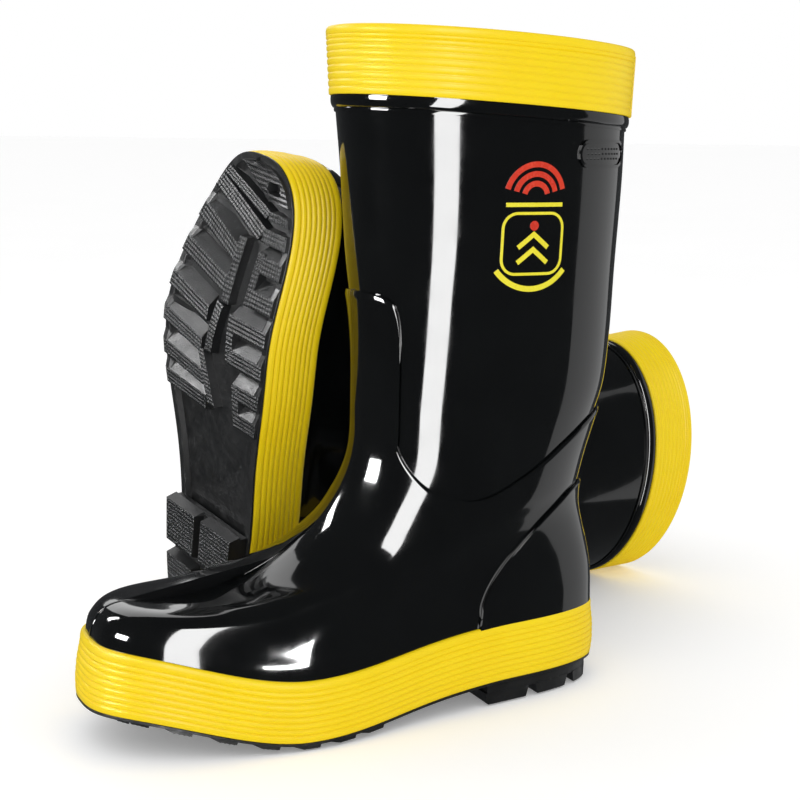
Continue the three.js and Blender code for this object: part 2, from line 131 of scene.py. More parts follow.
def ring_at(v):
    """The ring table at any v: straight over the first span, smooth above it."""
    v = np.asarray(v, float)
    k = np.clip(np.floor(v).astype(int), 1, LAST_RING - 1)
    t = (v - k)[..., None]
    before, here, after, beyond = (RINGS[np.clip(k + i, 0, LAST_RING)] for i in (-1, 0, 1, 2))
    in_slope = (after - before) / 2
    out_slope = (beyond - here) / 2
    bend = 3 * (after - here) - 2 * in_slope - out_slope
    twist = 2 * (here - after) + in_slope + out_slope
    smooth = here + in_slope * t + bend * t * t + twist * t ** 3
    straight = RINGS[0] + (RINGS[1] - RINGS[0]) * v[..., None]
    return np.where(v[..., None] <= 1, straight, smooth)


def skin_point(u, v):
    """u runs from the heel (0) along the outer side to the toe (0.5) and back, v up the rings."""
    back_f, back_h, front_f, front_h, back_w, front_w, square, waist, shift = np.moveaxis(ring_at(v), -1, 0)
    along = 0.5 - 0.5 * np.cos(2 * np.pi * u)
    side = np.where(np.sin(2 * np.pi * u) >= 0, 1, -1)
    power = 2 / square
    rounded = np.maximum(0, 1 - np.abs(2 * along - 1) ** power) ** (1 / power)
    pinch = waist * np.exp(-(((along - 0.42) / 0.13) ** 2))
    half = mix(back_w, front_w, ease((along - 0.18) / 0.5)) - pinch
    f = mix(back_f, front_f, along)
    level = sole_line(f) + mix(back_h, front_h, along)
    tilted = mix(sole_line(back_f) + back_h, sole_line(front_f) + front_h, along)
    z = mix(level, tilted, ease((v - 1) / 4.5))
    x = side * half * rounded - shift * ease((along - 0.6) / 0.4)
    return np.stack([x, -f, z], -1)


def skin_offset(u, v, d):
    """The skin moved outwards by d along its normal, which is level at the outsole."""
    u, v, d = np.broadcast_arrays(np.asarray(u, float), np.asarray(v, float), np.asarray(d, float))
    around = skin_point(u + 0.004, v) - skin_point(u - 0.004, v)
    upward = skin_point(u, np.minimum(v + 0.03, LAST_RING)) - skin_point(u, v - 0.03)
    normal = np.cross(upward, around)
    normal /= np.linalg.norm(normal, axis=-1, keepdims=True)
    normal[..., 2] *= ease(v / 1.5)
    normal /= np.linalg.norm(normal, axis=-1, keepdims=True)
    return skin_point(u, v) + normal * d[..., None]


def band_ring(h):
    """Ring number at height h above the sole line, inside the foxing band."""
    return (h - RINGS[0][1]) / (RINGS[1][1] - RINGS[0][1])


def cap_room(u, v):
    """Extra room for the steel cap between the leg and the lining."""
    f = -skin_point(u, v)[..., 1]
    return np.where(v < 7, CAP_ROOM * ease((f - CAP_START + 26) / 16), 0)


def skin_at(f, z, outer=True):
    """u and v of the skin at distance f from the heel and height z, on the outer or inner side."""
    low = np.zeros_like(f)
    high = np.full_like(f, LAST_RING)
    for _ in range(36):
        v = (low + high) / 2
        ring = ring_at(v)
        along = np.clip((f - ring[..., 0]) / (ring[..., 2] - ring[..., 0]), 0, 1)
        u = np.arccos(1 - 2 * along) / (2 * np.pi)
        below = skin_point(u, v)[..., 2] < z
        low = np.where(below, v, low)
        high = np.where(below, high, v)
    return (u if outer else 1 - u), v


# ---------- Where the two boots are ----------

def placements():
    """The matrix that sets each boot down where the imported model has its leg."""
    outer_way = LYING_TOE.cross(LYING_LEG).normalized()
    leg_way = outer_way.cross(LYING_TOE)
    lying = Matrix((-outer_way, -LYING_TOE, leg_way)).transposed().to_4x4() @ Matrix.Scale(-1, 4, (1, 0, 0))
    steps = np.arange(CAD_STEPS) / CAD_STEPS
    corners = []
    for ring in LEG_RINGS:
        for d in (0, -LEG_WALL):
            corners.append(skin_offset(steps, np.full(CAD_STEPS, float(ring)), d))
    corners = np.concatenate(corners)
    places = {}
    for side, turn in zip(SIDES, (Matrix.Identity(4), lying)):
        turned = corners @ np.array(turn.to_3x3()).T * MM
        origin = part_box(f"{side}_leg")[0] - Vector(turned.min(0))
        places[side] = Matrix.Translation(origin) @ turn @ Matrix.Scale(MM, 4)
    return places


PLACES = placements()


# ---------- Camera, light and floor ----------

CAMERA_FROM_LEFT_HEEL = Vector((0.75234, -0.50127, 0.3172))
CAMERA_RIGHT = Vector((0.44563, 0.89510, 0.01460))
CAMERA_UP = Vector((-0.15921, 0.06325, 0.98522))
CAMERA_LENS = 69.2
CAMERA_SHIFT = -0.0052


def add_camera():
    camera = bpy.data.objects.new("camera", bpy.data.cameras.new("camera"))
    scene.collection.objects.link(camera)
    right = CAMERA_RIGHT.normalized()
    back = right.cross(CAMERA_UP).normalized()
    turn = Matrix((right, back.cross(right), back)).transposed().to_4x4()
    where = PLACES["left"].translation + CAMERA_FROM_LEFT_HEEL
    camera.matrix_world = Matrix.Translation(where) @ turn
    camera.data.lens = CAMERA_LENS
    camera.data.sensor_width = 36
    camera.data.shift_x = CAMERA_SHIFT
    scene.camera = camera


def add_lamp(name, focus, azimuth, elevation, distance, size, radiance, roll=0, spread=180, matt=False):
    """A soft box that looks at a point of the left boot (millimetres) from azimuth and elevation.

    A glossy lamp shows only as a reflection in the rubber, a matt one only lights the surfaces.
    """
    data = bpy.data.lights.new(name, "AREA")
    data.shape = "RECTANGLE"
    data.size, data.size_y = size
    data.energy = radiance * math.pi * size[0] * size[1] * math.sin(math.radians(spread / 2)) ** 2
    data.spread = math.radians(spread)
    lamp = bpy.data.objects.new(name, data)
    scene.collection.objects.link(lamp)
    turn, rise = math.radians(azimuth), math.radians(elevation)
    way = Vector((math.cos(turn) * math.cos(rise), math.sin(turn) * math.cos(rise), math.sin(rise)))
    aim = PLACES["left"] @ Vector(focus)
    facing = (-way).to_track_quat("-Z", "Y").to_matrix()
    lamp.rotation_euler = (facing @ Matrix.Rotation(math.radians(roll), 3, "Z")).to_euler()
    lamp.location = aim + way * distance
    lamp.visible_camera = False
    lamp.visible_diffuse = matt
    lamp.visible_glossy = not matt


def add_world():
    """White to the eye and soft to matt surfaces, dim in the gloss of the rubber."""
    world = bpy.data.worlds.new("studio")
    world.use_nodes = True
    nodes, links = world.node_tree.nodes, world.node_tree.links
    path = nodes.new("ShaderNodeLightPath")
    soft = nodes["Background"]
    seen = nodes.new("ShaderNodeBackground")
    dim = nodes.new("ShaderNodeBackground")
    white = (1, 1, 1, 1)
    sky = (0.92, 0.96, 1, 1)
    for backdrop, tint, strength in ((soft, white, 0.86), (seen, white, 1.0), (dim, sky, 0.06)):
        backdrop.inputs["Color"].default_value = tint
        backdrop.inputs["Strength"].default_value = strength
    for_gloss = nodes.new("ShaderNodeMixShader")
    for_eye = nodes.new("ShaderNodeMixShader")
    links.new(path.outputs["Is Glossy Ray"], for_gloss.inputs["Fac"])
    links.new(soft.outputs[0], for_gloss.inputs[1])
    links.new(dim.outputs[0], for_gloss.inputs[2])
    links.new(path.outputs["Is Camera Ray"], for_eye.inputs["Fac"])
    links.new(for_gloss.outputs[0], for_eye.inputs[1])
    links.new(seen.outputs[0], for_eye.inputs[2])
    links.new(for_eye.outputs[0], nodes["World Output"].inputs["Surface"])
    scene.world = world


# ---------- Materials ----------

def new_material(name, **sockets):
    material = bpy.data.materials.new(name)
    material.use_nodes = True
    shader = material.node_tree.nodes["Principled BSDF"]
    for socket, value in sockets.items():
        shader.inputs[socket.replace("_", " ")].default_value = value
    return material, material.node_tree, shader


def add_node(tree, kind, **values):
    node = tree.nodes.new("ShaderNode" + kind)
    for key, value in values.items():
        if key in node.inputs:
            node.inputs[key].default_value = value
        else:
            setattr(node, key, value)
    return node


def noise(tree, scale, detail=4.0, roughness=0.55, stretch=(1, 1, 1)):
    source = add_node(tree, "TexCoord")
    mapping = add_node(tree, "Mapping")
    mapping.inputs["Scale"].default_value = stretch
    texture = add_node(tree, "TexNoise", Scale=scale, Detail=detail, Roughness=roughness)
    tree.links.new(source.outputs["Object"], mapping.inputs["Vector"])
    tree.links.new(mapping.outputs["Vector"], texture.inputs["Vector"])
    return texture.outputs["Fac"]


def ramp(tree, source, stops):
    """A colour ramp from (place, colour) pairs."""
    node = add_node(tree, "ValToRGB")
    for spare in list(node.color_ramp.elements)[1:]:
        node.color_ramp.elements.remove(spare)
    first = node.color_ramp.elements[0]
    for i, (place, colour) in enumerate(stops):
        stop = first if i == 0 else node.color_ramp.elements.new(place)
        stop.position = place
        stop.color = (*colour, 1) if isinstance(colour, tuple) else (colour, colour, colour, 1)
    tree.links.new(source, node.inputs["Fac"])
    return node.outputs["Color"]


def bump(tree, shader, source, distance, strength=1.0):
    node = add_node(tree, "Bump", Strength=strength, Distance=distance)
    tree.links.new(source, node.inputs["Height"])
    tree.links.new(node.outputs["Normal"], shader.inputs["Normal"])


def colour(tree, shader, source):
    tree.links.new(source, shader.inputs["Base Color"])


def roughness(tree, shader, source, low, high):
    """Roughness that wanders from low to high with a noise."""
    tree.links.new(ramp(tree, source, [(0.3, low), (0.7, high)]), shader.inputs["Roughness"])


def blend_colour(tree, amount, low, high):
    """A colour between two others, each a plain colour or a socket."""
    node = add_node(tree, "Mix", data_type="RGBA")
    tree.links.new(amount, node.inputs["Factor"])
    for socket, value in ((node.inputs[6], low), (node.inputs[7], high)):
        if isinstance(value, tuple):
            socket.default_value = (*value, 1)
        else:
            tree.links.new(value, socket)
    return node.outputs[2]


def glossy_black_rubber():
    material, tree, shader = new_material(
        "glossy black rubber", IOR=1.5, Coat_Weight=0.6, Coat_Roughness=0.02,
    )
    cloud = noise(tree, 18, 5, 0.6)
    shade = ramp(tree, cloud, [(0.3, (0.0016, 0.0019, 0.0021)), (0.75, (0.0034, 0.004, 0.0042))])
    dust = ramp(tree, noise(tree, 900, 2, 0.5), [(0.71, 0.0), (0.78, 1.0)])
    colour(tree, shader, blend_colour(tree, dust, shade, (0.018, 0.019, 0.019)))
    roughness(tree, shader, noise(tree, 55, 6, 0.65), 0.045, 0.12)
    bump(tree, shader, noise(tree, 65, 2, 0.4), 0.0001, 0.3)
    return material


def yellow_rubber():
    material, tree, shader = new_material("yellow rubber", IOR=1.4, Specular_IOR_Level=0.3)
    shader.inputs["Subsurface Weight"].default_value = 0.05
    shader.inputs["Subsurface Radius"].default_value = (0.004, 0.0025, 0.0005)
    cloud = ramp(tree, noise(tree, 14, 5, 0.6), [(0.3, (0.93, 0.66, 0.003)), (0.75, (0.97, 0.72, 0.008))])
    scuff = ramp(tree, noise(tree, 220, 6, 0.7, (1, 1, 0.35)), [(0.66, 0.0), (0.8, 1.0)])
    colour(tree, shader, blend_colour(tree, scuff, cloud, (0.85, 0.64, 0.03)))
    roughness(tree, shader, noise(tree, 120, 5, 0.6), 0.3, 0.46)
    bump(tree, shader, noise(tree, 700, 4, 0.6), 0.00006, 0.5)
    return material


def tread_rubber():
    material, tree, shader = new_material("tread rubber", IOR=1.5)
    stain = noise(tree, 40, 6, 0.65)
    cloud = ramp(tree, stain, [(0.3, (0.006, 0.0066, 0.0072)), (0.7, (0.015, 0.0162, 0.0175))])
    dust = ramp(tree, noise(tree, 260, 4, 0.6), [(0.6, 0.0), (0.75, 1.0)])
    colour(tree, shader, blend_colour(tree, dust, cloud, (0.045, 0.047, 0.049)))
    roughness(tree, shader, noise(tree, 150, 5, 0.6), 0.3, 0.5)
    bump(tree, shader, noise(tree, 1100, 4, 0.6), 0.00012, 0.6)
    return material


def filler_rubber():
    material, tree, shader = new_material("filler rubber", IOR=1.5)
    stain = noise(tree, 90, 6, 0.7)
    colour(tree, shader, ramp(tree, stain, [(0.3, (0.03, 0.03, 0.03)), (0.7, (0.07, 0.068, 0.066))]))
    roughness(tree, shader, noise(tree, 200, 4), 0.7, 0.9)
    bump(tree, shader, noise(tree, 800, 5, 0.7), 0.0002, 0.7)
    return material


def steel():
    material, tree, shader = new_material("brushed steel", Metallic=1.0)
    grain = noise(tree, 60, 5, 0.7, (1, 12, 1))
    colour(tree, shader, ramp(tree, grain, [(0.3, (0.42, 0.43, 0.45)), (0.7, (0.6, 0.61, 0.62))]))
    roughness(tree, shader, grain, 0.25, 0.45)
    bump(tree, shader, grain, 0.00005, 0.5)
    return material


def fibre_board():
    material, tree, shader = new_material("fibre board", IOR=1.4)
    fibres = noise(tree, 300, 6, 0.7, (1, 0.3, 1))
    colour(tree, shader, ramp(tree, fibres, [(0.3, (0.28, 0.2, 0.12)), (0.7, (0.5, 0.4, 0.27))]))
    roughness(tree, shader, fibres, 0.8, 0.98)
    bump(tree, shader, fibres, 0.0002, 0.6)
    return material


def knitted_lining():
    """Fine vertical wales of stitches, drawn on the piece's own map in millimetres, with painted shade in
    the hollows between them.
    """
    material, tree, shader = new_material("knitted lining", IOR=1.4, Sheen_Weight=0.3)
    coordinates = add_node(tree, "UVMap", uv_map="Skin")
    split = add_node(tree, "SeparateXYZ")
    tree.links.new(coordinates.outputs["UV"], split.inputs[0])

    def wave(source, pitch, shift=None):
        scaled = add_node(tree, "Math", operation="MULTIPLY")
        tree.links.new(source, scaled.inputs[0])
        scaled.inputs[1].default_value = 2 * math.pi / pitch
        moved = scaled
        if shift is not None:
            moved = add_node(tree, "Math", operation="ADD")
            tree.links.new(scaled.outputs[0], moved.inputs[0])
            tree.links.new(shift, moved.inputs[1])
        curve = add_node(tree, "Math", operation="SINE")
        tree.links.new(moved.outputs[0], curve.inputs[0])
        return curve.outputs[0]

    wale = wave(split.outputs["X"], 1.6)
    lean = add_node(tree, "Math", operation="MULTIPLY")
    tree.links.new(wale, lean.inputs[0])
    lean.inputs[1].default_value = 1.4
    course = wave(split.outputs["Y"], 1.2, lean.outputs[0])
    height = add_node(tree, "Math", operation="ADD")
    tree.links.new(wale, height.inputs[0])
    tree.links.new(course, height.inputs[1])
    # The colour follows the stitch height: painted shade, darker in the hollows between the stitches and
    # lighter on their crowns.
    shade = ramp(tree, height.outputs[0], [(0.0, (0.3, 0.27, 0.2)), (1.0, (0.66, 0.62, 0.52))])
    soil = ramp(tree, noise(tree, 30, 5), [(0.35, 0.0), (0.8, 0.5)])
    colour(tree, shader, blend_colour(tree, soil, shade, (0.4, 0.37, 0.3)))
    roughness(tree, shader, noise(tree, 300, 4), 0.85, 1.0)
    bump(tree, shader, height.outputs[0], 0.0003, 0.8)
    return material


def insole_felt():
    material, tree, shader = new_material("insole felt", IOR=1.4, Sheen_Weight=0.4)
    fibres = noise(tree, 420, 8, 0.75)
    colour(tree, shader, ramp(tree, fibres, [(0.3, (0.07, 0.085, 0.1)), (0.7, (0.16, 0.185, 0.21))]))
    roughness(tree, shader, fibres, 0.88, 1.0)
    bump(tree, shader, fibres, 0.0005, 0.8)
    return material


def printed_film(name, dark, light):
    material, tree, shader = new_material(name, IOR=1.5, Coat_Weight=0.3, Coat_Roughness=0.08)
    cloud = noise(tree, 120, 5, 0.6)
    colour(tree, shader, ramp(tree, cloud, [(0.3, dark), (0.7, light)]))
    roughness(tree, shader, noise(tree, 500, 4), 0.2, 0.32)
    bump(tree, shader, noise(tree, 900, 3), 0.00003, 0.4)
    return material


def floor_paper():
    material, tree, shader = new_material("floor paper", IOR=1.3)
    colour(tree, shader, ramp(tree, noise(tree, 3, 3), [(0.3, 0.95), (0.7, 0.97)]))
    roughness(tree, shader, noise(tree, 80, 3), 0.9, 0.95)
    shader.inputs["Emission Color"].default_value = (1, 1, 1, 1)
    shader.inputs["Emission Strength"].default_value = 0.2
    return material


BLACK = glossy_black_rubber()
YELLOW = yellow_rubber()
TREAD = tread_rubber()
KNIT = knitted_lining()
FELT = insole_felt()
YELLOW_PRINT = printed_film("yellow print", (0.82, 0.72, 0.02), (0.9, 0.8, 0.04))
RED_PRINT = printed_film("red print", (0.62, 0.03, 0.012), (0.74, 0.05, 0.018))


# ---------- Making meshes ----------

def lattice(columns, rows):
    """A grid of vertices with s and t from 0 to 1 across and along it."""
    bm = bmesh.new()
    bmesh.ops.create_grid(bm, x_segments=columns, y_segments=rows, size=0.5)
    s = np.array([vert.co.x for vert in bm.verts]) + 0.5
    t = np.array([vert.co.y for vert in bm.verts]) + 0.5
    return bm, s, t


def shape(bm, points):
    for vert, point in zip(bm.verts, points):
        vert.co = point


def seal(bm, fill=False):
    """Merges seams and poles, closes an open underside if asked, and points the faces outwards."""
    bmesh.ops.remove_doubles(bm, verts=bm.verts, dist=0.004)
    bmesh.ops.dissolve_degenerate(bm, edges=bm.edges, dist=0.002)
    if fill:
        rim = [edge for edge in bm.edges if edge.is_boundary]
        bmesh.ops.holes_fill(bm, edges=rim, sides=0)
    bmesh.ops.recalc_face_normals(bm, faces=bm.faces)
    return bm


def add_to(bm, other):
    """Adds another mesh to this one."""
    mesh = bpy.data.meshes.new("part")
    other.to_mesh(mesh)
    bm.from_mesh(mesh)
    bpy.data.meshes.remove(mesh)
    other.free()
    return bm


def install(bm, name, material, replaced=None, body="boot", crease=40):
    """Puts a finished shape on both boots, each riding on its own body."""
    for side in SIDES:
        own = bm.copy()
        bmesh.ops.transform(own, matrix=PLACES[side], verts=own.verts)
        if side == "right":
            bmesh.ops.reverse_faces(own, faces=own.faces)
        mesh = bpy.data.meshes.new(f"{side}_{name}_detail")
        own.to_mesh(mesh)
        own.free()
        mesh.polygons.foreach_set("use_smooth", [True] * len(mesh.polygons))
        mesh.set_sharp_from_angle(angle=math.radians(crease))
        mesh.materials.append(material)
        piece = bpy.data.objects.new(mesh.name, mesh)
        scene.collection.objects.link(piece)
        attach(piece, f"{side}_{body}")
        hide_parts(f"{side}_{replaced or name}")
    bm.free()


# ---------- Walls that go round the boot ----------

AROUND = 192
FINE_AROUND = 224


def swept(outline, columns=AROUND, room=None):
    """A closed outline of (ring, offset, lift) carried round the boot."""
    table = np.array([point if len(point) == 3 else (*point, 0) for point in outline], float)
    bm, s, t = lattice(columns, len(table))
    index = np.rint(t * len(table)).astype(int)
    ring, offset, lift = table[index % len(table)].T
    if room is not None:
        offset = offset - room(s, ring)
    points = skin_offset(s, ring, offset)
    points[:, 2] += lift
    map_layer = bm.loops.layers.uv.new("Skin")
    girth = 2 * np.pi * 50 * s
    for face in bm.faces:
        for loop in face.loops:
            k = loop.vert.index
            loop[map_layer].uv = (girth[k], points[k][2])
    shape(bm, points)
    return seal(bm)


def ribs(start, count, pitch, depth, samples=8):
    """Heights and offsets over a row of rounded ribs with narrow grooves between them."""
    profile = []
    for k in range(count):
        for j in range(samples):
            share = j / samples
            groove = abs(math.cos(math.pi * share)) ** 7
            profile.append((start + (k + share) * pitch, -depth * groove))
    return profile


def foxing_band():
    """The yellow band round the sole: a smooth lip on top and eight ribs below it."""
    lip = 5.2
    rib_count = 8
    top = BAND_HEIGHT - lip

    def bulge(h):
        heights = (0, 0.24 * BAND_HEIGHT, 0.55 * BAND_HEIGHT, 0.82 * BAND_HEIGHT, BAND_HEIGHT)
        return np.interp(h, heights, (3.9, 5.0, 5.2, 4.5, 3.3))

    outline = [(band_ring(0), GAP), (band_ring(0), 3.3), (band_ring(0.25), 3.75)]
    for h, groove in ribs(0.9, rib_count, top / rib_count - 0.05, 0.75)[4:]:
        outline.append((band_ring(h), bulge(h) + groove))
    for share, d in ((0.2, 0.05), (0.45, 0.1), (0.7, 0.0), (0.86, -0.35), (0.96, -0.9), (1.0, -1.6)):
        outline.append((band_ring(top + share * lip), bulge(top) + d))
    outline.append((band_ring(BAND_HEIGHT), GAP))
    return swept(outline, FINE_AROUND)


def collar_band():
    """The yellow band round the top, ribbed outside and folded over the rim."""
    outer = 2.9
    outline = [(COLLAR_RING, GAP), (COLLAR_RING, outer - 0.5), (COLLAR_RING + 0.4 / COLLAR_HEIGHT, outer)]
    for h, groove in ribs(0.4, 9, 3.25, 0.6)[4:]:
        outline.append((COLLAR_RING + h / COLLAR_HEIGHT, outer + groove))
    top = LAST_RING
    turn_in = top - COLLAR_TURN_IN / COLLAR_HEIGHT
    inside = -(LEG_WALL + GAP + LINING_WALL + GAP)
    outline += [(top - 0.1, outer, 0), (top - 0.02, outer, 0.6)]
    outline += [(top, outer - 0.35, 1.7), (top, outer - 1.1, 2.35), (top, 0, 2.6)]
    outline += [(top, inside, 2.5), (top, inside - 0.9, 2.0), (top, inside - 1.3, 1.0)]
    outline += [(turn_in, inside - 1.2, 0), (turn_in - 0.3 / COLLAR_HEIGHT, inside - 0.7, 0)]
    outline += [(turn_in, inside, 0), (top, inside, GAP), (top, GAP, GAP)]
    return swept(outline, FINE_AROUND)


def collar_bead():
    """The black rolled edge that peeps out under the collar, with two fine grooves below it."""
    top = COLLAR_RING - 0.01
    low = top - 0.17
    outline = [(low - 0.06, GAP), (low - 0.06, 0.75), (low - 0.03, 0.9), (low - 0.005, 0.5), (low, 1.3)]
    for share, d in ((0.2, 1.95), (0.45, 2.25), (0.75, 2.2)):
        outline.append((mix(low, top, share), d))
    outline += [(top, 1.9), (top, GAP)]
    return swept(outline)


def collar_tab():
    """The end of the collar strip, glued over itself behind the outer side, with stitch holes."""
    inner, outer = 3.2, 4.3
    start, end = 9.0, 19.0
    rows, columns = 44, 14
    bm, s, t = lattice(columns + 2, rows + 2)
    across = np.clip((s * (columns + 2) - 1) / columns, 0, 1)
    along = np.clip((t * (rows + 2) - 1) / rows, 0, 1)
    edge = (s < 1e-6) | (s > 1 - 1e-6) | (t < 1e-6) | (t > 1 - 1e-6)
    x = mix(start, end, across)
    v = COLLAR_RING + along
    half = ring_at(v)[..., 4]
    u = np.arcsin(np.clip(x / half, 0, 1)) / (2 * np.pi)
    side_margin = np.minimum(across, 1 - across) * (end - start)
    margin = np.minimum(side_margin, np.minimum(along, 1 - along) * COLLAR_HEIGHT)
    offset = np.where(edge, inner, outer - 0.5 * (1 - ease(margin / 0.9)))
    for hole in (0.16, 0.34, 0.5, 0.66, 0.84):
        distance = np.hypot(x - (end - 2), (along - hole) * COLLAR_HEIGHT)
        offset = offset - np.where(edge, 0, 0.7 * (1 - ease(distance / 0.9)))
    shape(bm, skin_offset(u, v, offset))
    return seal(bm, fill=True)


def leg():
    """The moulded leg and upper."""
    outer_rows = np.concatenate([np.linspace(0, 1, 5), np.linspace(1, LAST_RING, 113)[1:]])
    inner_rows = np.concatenate([np.linspace(LAST_RING, 1, 57), [0.5, 0]])
    return swept([(v, 0) for v in outer_rows] + [(v, -LEG_WALL) for v in inner_rows])


def lining():
    """The knitted liner, which narrows where it passes under the steel cap."""
    outer = -(LEG_WALL + GAP)
    rows = [(v, outer) for v in np.linspace(0, LAST_RING, 60)]
    inner = [(v, outer - LINING_WALL) for v in np.linspace(LAST_RING, 0, 90)]
    return swept(rows + inner, 144, cap_room)


# ---------- Overlays on the foot ----------

# Upper edges as (distance from the heel, height).
GALOSH_EDGE = [
    (-15, 165.5), (3, 164.5), (20, 160.5), (41, 150), (59, 139), (76, 130), (91, 123.5), (104, 121.5),
    (118, 124.5), (131, 132.5), (140, 148), (143, 172), (141, 195), (142, 220), (147, 231), (158, 234),
    (175, 234),
]
COUNTER_EDGE = [
    (-15, 122), (16, 121.5), (31, 119.5), (42, 113.5), (52, 107), (61, 100), (70, 92), (77.5, 85),
    (85, 76), (90, 68), (93.5, 59), (94, 52),
]


def smooth_curve(points, count):
    """Evenly spaced places along a smooth curve through the points."""
    points = np.array(points, float)
    padded = np.vstack([2 * points[0] - points[1], points, 2 * points[-1] - points[-2]])
    fine = []
    for k in range(1, len(padded) - 2):
        a, b, c, d = padded[k - 1:k + 3]
        for t in np.linspace(0, 1, 24, endpoint=False):
            square = (2 * a - 5 * b + 4 * c - d) * t ** 2
            cube = (3 * b - a - 3 * c + d) * t ** 3
            fine.append(0.5 * (2 * b + (c - a) * t + square + cube))
    fine.append(points[-1])
    fine = np.array(fine)
    run = np.concatenate([[0], np.cumsum(np.linalg.norm(np.diff(fine, axis=0), axis=1))])
    even = np.linspace(0, run[-1], count)
    return np.stack([np.interp(even, run, fine[:, i]) for i in range(fine.shape[1])], 1)


def overlay(edge, inner, thickness, columns, rows, foot_end=None):
    """A rubber sheet from a drawn upper edge down into the foxing band, on both sides of the foot.

    With foot_end it wraps the heel only, and thins away at its two front ends.
    """
    half = columns // 2
    bend = smooth_curve(edge, half + 1)
    bend[:, 0] = np.clip(bend[:, 0], -20, 200)
    u_edge, v_edge = skin_at(bend[:, 0], bend[:, 1])
    u_edge[0] = 0
    heel_f, toe_f = RINGS[0][0], RINGS[0][2]
    last = toe_f if foot_end is None else foot_end
    even = np.linspace(0, 1, half + 1)
    foot_f = mix(heel_f, last, mix((1 - np.cos(np.pi * even)) / 2, even, 0.35))
    u_foot = np.arccos(np.clip(1 - 2 * (foot_f - heel_f) / (toe_f - heel_f), -1, 1)) / (2 * np.pi)
    v_foot = band_ring(BAND_HEIGHT - 4)
    outer = inner + thickness
    profile = [(1, inner), (1, outer)]
    profile += [(1 - share, outer) for share in np.linspace(0, 1, rows)[1:-1]]
    profile += [(0.012, outer), (0.007, outer - 0.12), (0.003, outer - 0.45), (0, outer - 0.9), (0, inner)]
    profile += [(share, inner) for share, _ in reversed(profile[2:-2])]
    table = np.array(profile)
    bm, s, t = lattice(columns, len(table))
    down, offset = table[np.rint(t * len(table)).astype(int) % len(table)].T
    place = np.rint(s * columns).astype(int)
    step = np.where(place <= half, place, columns - place)
    if foot_end is not None:
        step = half - step
        offset = np.where(step == half, inner, offset)
    u = mix(u_edge[step], u_foot[step], down)
    v = mix(v_edge[step], v_foot, down)
    u = np.where(place <= half, u, 1 - u)
    shape(bm, skin_offset(u, v, offset))
    return bm


def galosh():
    return seal(overlay(GALOSH_EDGE, GAP, GALOSH_WALL, 288, 70))


def heel_counter():
    inner = GAP + GALOSH_WALL + GAP
    return seal(overlay(COUNTER_EDGE, inner, COUNTER_WALL, 192, 40, foot_end=COUNTER_END))


def toe_seam():
    """The fine moulded line along the middle of the toe."""
    first, last = 1.05, 7.6
    bm, s, t = lattice(4, 89)
    v = mix(first, last, t)
    height = np.array([0, 0.38, 0.5, 0.38, 0])[np.rint(s * 4).astype(int)]
    fade = ease((last - v) / 1.5)
    u = 0.5 + (s - 0.5) * 0.0016
    shape(bm, skin_offset(u, v, 2.0 + height * fade))
    return seal(bm, fill=True)


# ---------- Outsole ----------

KNURL = 1.25
KNURL_DEPTH = 0.65
RECESS = 2.6
TREAD_LOW = 4.4
TREAD_HIGH = RECESS + 0.4
# Tread bars: distance from the heel at the channel and at the sole's edge, and x at the channel.
OUTER_BARS = [(160, 163, 4), (175, 181, 7), (194, 202, 9), (214, 224, 6), (234, 246, -4), (252, 268, -6)]
INNER_BARS = [
    (160, 160, -26), (177, 177, -26), (196, 196, -19), (215, 215, -18), (233, 233, -28), (252, 252, -28),
]


def sole_edge(f, side, inset):
    """x of the outsole's edge at distance f, on the outer (1) or inner (-1) side."""
    ring = RINGS[0]
    along = np.clip((f - ring[0]) / (ring[2] - ring[0]), 0, 1)
    turn = np.arccos(1 - 2 * along) / (2 * np.pi)
    turn = turn if side > 0 else 1 - turn
    return skin_offset(turn, np.full_like(turn, band_ring(0)), FLANGE_REACH - inset)[..., 0]


def four_corners(corners):
    """Plan of a block from its corners: a and b end one long edge, d and c the other."""
    a, b, c, d = (np.array(corner, float) for corner in corners)

    def plan(across, along):
        return mix(mix(a, b, along[:, None]), mix(d, c, along[:, None]), across[:, None])

    length = max(np.linalg.norm(b - a), np.linalg.norm(c - d))
    width = max(np.linalg.norm(d - a), np.linalg.norm(c - b))
    return plan, length, width


def unit(way):
    return way / np.maximum(np.linalg.norm(way, axis=1, keepdims=True), 1e-9)


